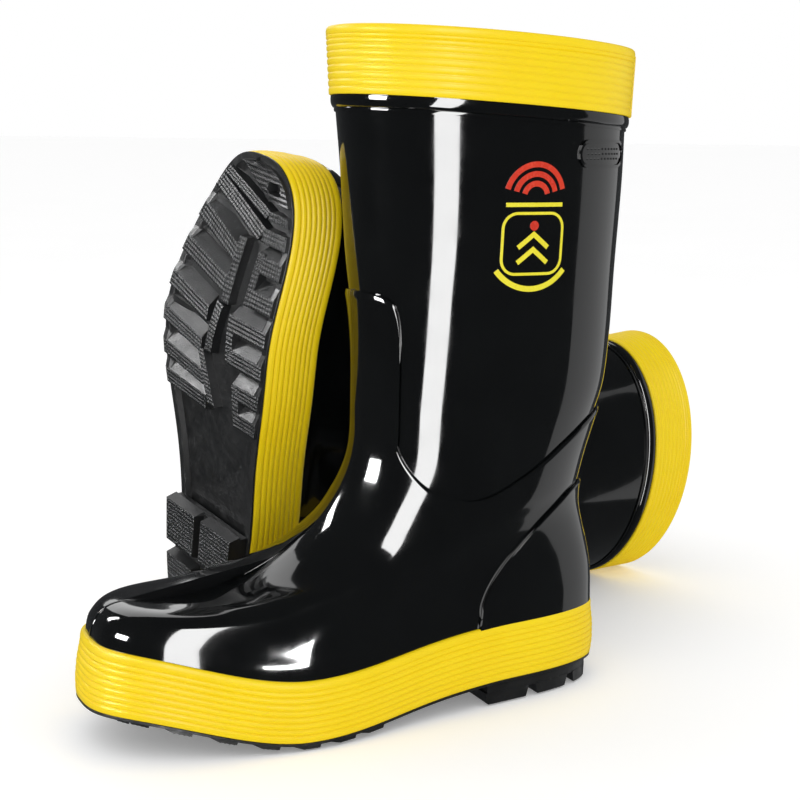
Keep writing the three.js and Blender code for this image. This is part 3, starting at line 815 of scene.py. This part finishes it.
def pad(plan, length, width, low=TREAD_LOW, high=TREAD_HIGH, slopes=(0.5, 0.5, 0.5, 0.5),
        knurled=True, flat=False, recess=None):
    """A block that hangs from height high down to low below the sole line.

    Slopes say how far the foot of each wall (first long edge, far end, second long edge, near
    end) spreads beyond the top. The knurling is rows of small pyramids.
    """
    cell = KNURL if knurled else 4.0
    rows = max(2, 2 * round(length / cell / 2))
    columns = max(2, 2 * round(width / cell / 2))
    bm, s, t = lattice(columns + 2, rows + 2)
    i = np.rint(s * (columns + 2)).astype(int)
    j = np.rint(t * (rows + 2)).astype(int)
    across = np.clip((i - 1) / columns, 0, 1)
    along = np.clip((j - 1) / rows, 0, 1)
    near, far = np.zeros_like(across), np.ones_like(across)
    spot = plan(across, along)
    out_way = unit(plan(far, along) - plan(near, along))
    run_way = unit(plan(across, far) - plan(across, near))
    first, second = (i == 0)[:, None], (i == columns + 2)[:, None]
    start, end = (j == 0)[:, None], (j == rows + 2)[:, None]
    spot = spot - out_way * slopes[0] * first + out_way * slopes[2] * second
    spot = spot + run_way * slopes[1] * end - run_way * slopes[3] * start
    wall = (first | second | start | end)[:, 0]
    inside = (spot[:, 0] < sole_edge(spot[:, 1], 1, 4.4)) & (spot[:, 0] > sole_edge(spot[:, 1], -1, 4.4))
    root = np.where(inside | flat, high, -FLANGE_LOW + 0.5)
    raised = knurled & (i % 2 == 0) & (j % 2 == 0) & (i > 1) & (i < columns + 1) & (j > 1) & (j < rows + 1)
    height = np.where(wall, root, np.where(raised, -low, -low + KNURL_DEPTH * knurled))
    if recess is not None:
        in_x = np.abs(spot[:, 0] - recess[0]) < recess[1]
        in_f = np.abs(spot[:, 1] - recess[2]) < recess[3]
        height = np.where(in_x & in_f & ~wall, high - 1.0, height)
    line = sole_line(0.0) if flat else sole_line(spot[:, 1])
    shape(bm, np.stack([spot[:, 0], -spot[:, 1], line + height], 1))
    return seal(bm, fill=True)


def outsole():
    """The black edge under the band, the recessed base and the knurled tread."""
    edge = FLANGE_REACH
    low = -FLANGE_LOW
    outline = [(-0.3, GAP), (-0.3, edge - 0.2), (-0.55, edge), (low + 0.25, edge), (low, edge - 0.3)]
    outline += [(low, -1.0), (low + 0.4, -1.6), (RECESS, -3.0), (RECESS + 0.6, -6)]
    outline += [(3.9, -6), (3.9, 0), (0.2, 0)]
    body = swept([(band_ring(h), d) for h, d in outline], FINE_AROUND)
    add_to(body, sole_base())
    parts = [bar(plan, 1) for plan in OUTER_BARS] + [bar(plan, -1) for plan in INNER_BARS]
    for part in parts + spines() + toe_lugs() + [shank_plate()]:
        add_to(body, part)
    return body


def sole_base():
    """The floor of the tread, from side to side."""
    columns, rows = 24, 96
    bm, s, t = lattice(columns, rows)
    f = mix(RINGS[0][0] + 3.5, RINGS[0][2] - 3.5, (1 - np.cos(np.pi * t)) / 2)
    x = mix(sole_edge(f, -1, 6.6), sole_edge(f, 1, 6.6), s)
    shape(bm, np.stack([x, -f, sole_line(f) + RECESS], 1))
    bmesh.ops.remove_doubles(bm, verts=bm.verts, dist=0.004)
    bmesh.ops.recalc_face_normals(bm, faces=bm.faces)
    bmesh.ops.solidify(bm, geom=bm.faces, thickness=1.0)
    bmesh.ops.recalc_face_normals(bm, faces=bm.faces)
    return bm


BAR_HALF = 4.6
RAMP = 7.5


def bar(plan, side):
    """One tread bar, from the channel to the sole's edge, with a long ramp on its toe side."""
    inner_f, outer_f, start = plan
    low_f, high_f = outer_f - BAR_HALF, outer_f + BAR_HALF
    corners = [
        (start, inner_f - BAR_HALF), (sole_edge(low_f, side, 0.7), low_f),
        (sole_edge(high_f, side, 0.7), high_f), (start, inner_f + BAR_HALF),
    ]
    return pad(*four_corners(corners), slopes=(0.8, 0, RAMP, 0.5))


def spines():
    """Knurled strips that join the bars along the zigzag channel."""
    strips = [
        [(-33, 228), (-33, 258), (-26.5, 258), (-26.5, 228)],
        [(-24, 192), (-22, 220), (-15.5, 220), (-17, 192)],
        [(-33, 158), (-31, 180), (-24.5, 180), (-26, 158)],
        [(-12, 224), (-12, 262), (-4.5, 262), (-4.5, 224)],
        [(-1, 192), (-8, 222), (-1, 224), (6, 192)],
        [(-6, 160), (7, 192), (13, 192), (2, 160)],
    ]
    return [pad(*four_corners(corners)) for corners in strips]


def edge_x(f, side):
    """x where a toe lug ends, just inside the outsole's edge."""
    return float(sole_edge(np.array(float(f)), side, 0.9))


def toe_lugs():
    """Two nested chevrons and the toe plate with a recess in it."""
    parts = []
    for f, corner, reach, half in ((267, -25, 20, 3.8), (278, -26, 16, 2.3)):
        low_f, high_f = f - half, f + half
        inner_arm = [
            (corner, low_f), (edge_x(low_f, -1), low_f), (edge_x(high_f, -1), high_f), (corner, high_f),
        ]
        low_tip, high_tip = low_f + reach, high_f + reach
        outer_arm = [
            (corner + half, low_f), (edge_x(low_tip, 1), low_tip),
            (edge_x(high_tip, 1) - 1, high_tip), (corner - half * 0.4, high_f),
        ]
        parts += [pad(*four_corners(inner_arm)), pad(*four_corners(outer_arm))]
    parts.append(pad(toe_plate, 21, 34, recess=(-26, 5, 293, 2.6)))
    return parts


def toe_plate(across, along):
    """Plan of the plate at the tip of the toe."""
    start = 285.5
    f = mix(start, 306.2, along)
    left = sole_edge(f, -1, 0.9)
    right = np.minimum(sole_edge(f, 1, 0.9), -22 + (f - start) * 1.9)
    return np.stack([mix(left, right, across), f], 1)


def shank_plate():
    """A faint raised rectangle in the waist."""
    plate = four_corners([(-30, 104), (-30, 134), (-4, 134), (-4, 104)])
    return pad(*plate, low=-RECESS + 0.6, knurled=False)


def heel_block():
    """Slab and six knurled cleats under the heel."""
    top = FLANGE_LOW + GAP
    cleat_root = HEEL_LINE - 7.0
    body = heel_slab(top, cleat_root)
    for start, end in ((7.0, 22.5), (30.5, 52.0), (60.5, 87.0)):
        for side in (-1, 1):
            add_to(body, cleat(start, end, side, cleat_root))
    return body


def cleat(start, end, side, root):
    """One block of the heel, from the middle groove to the side."""

    def plan(across, along):
        f = mix(start, end, along)
        return np.stack([mix(np.full_like(f, 3.6 * side), sole_edge(f, side, 2.2), across), f], 1)

    return pad(plan, end - start, 32, HEEL_LINE, 0.5 - root, (0.6, 2.2, 0.4, 2.2), flat=True)


def deepen(bm, level):
    """Closes a sheet into a solid, with its other face at the height that level gives."""
    bmesh.ops.remove_doubles(bm, verts=bm.verts, dist=0.004)
    grown = bmesh.ops.extrude_face_region(bm, geom=list(bm.faces))
    for vert in (item for item in grown["geom"] if isinstance(item, bmesh.types.BMVert)):
        vert.co.z = level(vert)
    bmesh.ops.recalc_face_normals(bm, faces=bm.faces)
    return bm


def heel_slab(top, root):
    """The flat lift that carries the cleats."""
    bm, s, t = lattice(20, 40)
    f = mix(5.0, HEEL_LENGTH, mix(ease(t), t, 0.5))
    x = mix(sole_edge(f, -1, 1.9), sole_edge(f, 1, 1.9), s)
    shape(bm, np.stack([x, -f, sole_line(f) - top], 1))
    return deepen(bm, lambda vert: HEEL_LINE - root)


# ---------- Insole ----------

def insole():
    """A loose felt insole with a rounded edge and shallow rows of dimples."""
    low = SLAB_TOP + FILLER_THICKNESS + PLATE_THICKNESS + BOARD_THICKNESS + 3 * GAP
    high = low + INSOLE_THICKNESS
    inset = LEG_WALL + 2 * GAP + LINING_WALL + 0.9
    bm, s, t = lattice(64, 190)
    u = (1 - np.cos(np.pi * t)) / 4
    v = np.full_like(u, band_ring(high))
    outer = skin_offset(u, v, -inset - cap_room(u, v))
    inner = skin_offset(1 - u, v, -inset - cap_room(1 - u, v))
    points = mix(inner, outer, s[:, None])
    margin = np.minimum(np.linalg.norm(points - inner, axis=1), np.linalg.norm(points - outer, axis=1))
    points[:, 2] -= 0.8 * (1 - ease(margin / 2.0))
    dimple = (np.cos(points[:, 0] * 2 * np.pi / 9) * np.cos(points[:, 1] * 2 * np.pi / 9)) ** 6
    points[:, 2] -= 0.5 * dimple * ease(margin / 6 - 0.5)
    shape(bm, points)
    return deepen(bm, lambda vert: sole_line(-vert.co.y) + low)


# ---------- Marks on the leg ----------

EMBLEM_F = 77.7
EMBLEM_Z = 261.0
PRINT_LOW = 0.12
PRINT_HIGH = 0.3


def on_leg(flat, d, centre_f=EMBLEM_F, centre_z=EMBLEM_Z):
    """Places drawn on a flat patch (right, up) wrapped onto the outer side of the leg."""
    f = centre_f - flat[:, 0]
    u, v = skin_at(f, centre_z + flat[:, 1])
    return skin_offset(u, v, d)


def stroke(path, width, closed=False, low=PRINT_LOW, high=PRINT_HIGH, **centre):
    """A line of even width along a path, raised a little from the leg."""
    path = np.array(path, float)
    if closed:
        before, after = np.roll(path, 1, 0), np.roll(path, -1, 0)
    else:
        before = np.vstack([path[:1], path[:-1]])
        after = np.vstack([path[1:], path[-1:]])
    way_in, way_out = unit(path - before), unit(after - path)
    if not closed:
        way_in[0] = way_out[0]
        way_out[-1] = way_in[-1]
    way = unit(way_in + way_out)
    side = np.stack([-way[:, 1], way[:, 0]], 1)
    turn = np.maximum(0.5, np.abs((side * np.stack([-way_out[:, 1], way_out[:, 0]], 1)).sum(1)))
    if closed:
        path, side, turn = (np.concatenate([item, item[:1]]) for item in (path, side, turn))
    count = len(path)
    bm, s, t = lattice(4, count - 1)
    k = np.rint(t * (count - 1)).astype(int)
    spot = np.rint(s * 4).astype(int)
    reach = np.array([-0.5, -0.5, 0.5, 0.5, -0.5])[spot] * width
    d = np.array([low, high, high, low, low])[spot]
    flat = path[k] + side[k] * (reach / turn[k])[:, None]
    shape(bm, on_leg(flat, d, **centre))
    return seal(bm, fill=not closed)


def disc(rim, low=PRINT_LOW, high=PRINT_HIGH, steps=6, **centre):
    """A filled shape inside a closed rim."""
    rim = np.array(rim, float)
    middle = rim.mean(0)
    count = len(rim)
    bm, s, t = lattice(steps + 1, count)
    k = np.rint(t * count).astype(int) % count
    spot = np.rint(s * (steps + 1)).astype(int)
    share = np.minimum(spot, steps) / steps
    d = np.where(spot == steps + 1, low, high)
    flat = mix(middle, rim[k], share[:, None])
    shape(bm, on_leg(flat, d, **centre))
    return seal(bm, fill=True)


def arc(centre, radius, start, end, count=40):
    angles = np.radians(np.linspace(start, end, count))
    return np.stack([centre[0] + radius * np.cos(angles), centre[1] + radius * np.sin(angles)], 1)


def dense(path, step=1.5):
    """The same corners with more places between them."""
    path = np.array(path, float)
    out = []
    for a, b in zip(path[:-1], path[1:]):
        count = max(1, round(np.linalg.norm(b - a) / step))
        out += [mix(a, b, i / count) for i in range(count)]
    return np.array(out + [path[-1]])


def even_loop(rim, step=1.5):
    """A closed rim with places at an even distance."""
    return dense(np.concatenate([rim, rim[:1]]), step)[:-1]


def merged(parts):
    body = parts[0]
    for part in parts[1:]:
        add_to(body, part)
    return body


def rounded_box(width, height, radius, count=10):
    """A closed rim with rounded corners, round the origin."""
    rim = []
    for k, (sx, sy) in enumerate(((1, 1), (-1, 1), (-1, -1), (1, -1))):
        centre = (sx * (width / 2 - radius), sy * (height / 2 - radius))
        rim.append(arc(centre, radius, 90 * k, 90 * k + 90, count))
    return np.concatenate(rim)


def yellow_emblem():
    """A rounded square frame with two chevrons in it, over a curved bar."""
    frame_rim = even_loop(rounded_box(36, 32, 8))
    chevrons = [dense([(-9, y), (0, y + 7), (9, y)], 1.5) for y in (-10, -2)]
    parts = [stroke(frame_rim, 1.5, closed=True)]
    parts += [stroke(path, 2.6) for path in chevrons]
    parts.append(stroke(arc((0, 2), 26, 218, 322, 60), 3.0))
    parts.append(stroke(dense([(-17, 20.5), (17, 20.5)], 1.5), 2.2))
    return merged(parts)


def red_emblem():
    """Three nested bows above the frame and a spot inside it."""
    parts = [stroke(arc((0, 24.5), radius, 14, 166, 40), 3.0) for radius in (7, 12, 17)]
    parts.append(disc(arc((0, 9.5), 2.6, 0, 345, 24)))
    return merged(parts)


BADGE_F = 31.0
BADGE_Z = 308.0


def size_badge():
    """A raised oval ring at the back of the leg with a plain dotted field inside it."""
    place = {"centre_f": BADGE_F, "centre_z": BADGE_Z}
    outer_rim = even_loop(rounded_box(38.5, 13.5, 6.6, 14))
    parts = [stroke(outer_rim, 1.5, closed=True, low=GAP - 0.25, high=1.15, **place)]
    parts.append(disc(even_loop(rounded_box(36, 11, 5.4, 14)), low=GAP - 0.25, high=0.45, steps=5, **place))
    for x in np.arange(-13.5, 14, 3.0):
        for y in (-2.6, 0, 2.6):
            spot = arc((x + (0.75 if y == 0 else 0), y), 0.6, 0, 300, 6)
            parts.append(disc(spot, low=0.4, high=0.85, steps=1, **place))
    return merged(parts)


# ---------- Putting it all together ----------

add_camera()
add_world()

install(leg(), "leg", BLACK)
install(lining(), "lining", KNIT)
install(galosh(), "galosh", BLACK)
install(toe_seam(), "toe_seam", BLACK, "galosh")
install(heel_counter(), "heel_counter", BLACK)
install(foxing_band(), "foxing_band", YELLOW, crease=70)
install(outsole(), "outsole", TREAD, crease=14)
install(heel_block(), "heel_block", TREAD, crease=14)
install(collar_band(), "collar_band", YELLOW, crease=70)
install(collar_tab(), "collar_tab", YELLOW, crease=50)
install(collar_bead(), "collar_bead", BLACK, crease=70)
install(yellow_emblem(), "emblem_frame", YELLOW_PRINT, "emblem")
install(red_emblem(), "emblem_bows", RED_PRINT, "emblem")
install(size_badge(), "size_badge", BLACK)
install(insole(), "insole", FELT, body="insole", crease=60)

STEEL = steel()
KEPT_NODES = {
    "midsole_filler": filler_rubber(),
    "puncture_plate": STEEL,
    "insole_board": fibre_board(),
    "steel_toe_cap": STEEL,
}
for side in SIDES:
    for name, material in KEPT_NODES.items():
        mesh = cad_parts[f"{side}_{name}"].data
        mesh.materials.clear()
        mesh.materials.append(material)

floor_mesh = bpy.data.meshes.new("floor")
floor_bm = bmesh.new()
bmesh.ops.create_grid(floor_bm, x_segments=2, y_segments=2, size=60)
bmesh.ops.translate(floor_bm, verts=floor_bm.verts, vec=(0, 0, -0.0005))
floor_bm.to_mesh(floor_mesh)
floor_bm.free()
floor_mesh.materials.append(floor_paper())
floor = bpy.data.objects.new("floor", floor_mesh)
scene.collection.objects.link(floor)
floor.visible_glossy = False

SHAFT = (50, -120, 220)  # a point inside the left boot's leg
add_lamp("long_strip", SHAFT, -23, 4, 3.9, (1.2, 7.2), 14, roll=-10)
add_lamp("vamp_box", (50, -210, 48), 8, -3, 0.45, (0.1, 0.026), 30, spread=24)
add_lamp("toe_box", (22, -292, 63), -82, 20, 1.0, (0.4, 0.3), 30, spread=60)
add_lamp("instep_box", (9, -172, 113), -138, 33, 1.2, (0.16, 0.4), 14, spread=60)
add_lamp("heel_side", (50, -35, 250), 88, 0, 1.6, (1.5, 2.4), 0.5)
add_lamp("toe_sheet", (16, -250, 75), 168, 40, 1.6, (1.2, 1.2), 1.6)
add_lamp("key", SHAFT, -50, 50, 1.8, (1.4, 1.4), 0.9, matt=True)

scene.view_settings.view_transform = "Standard"
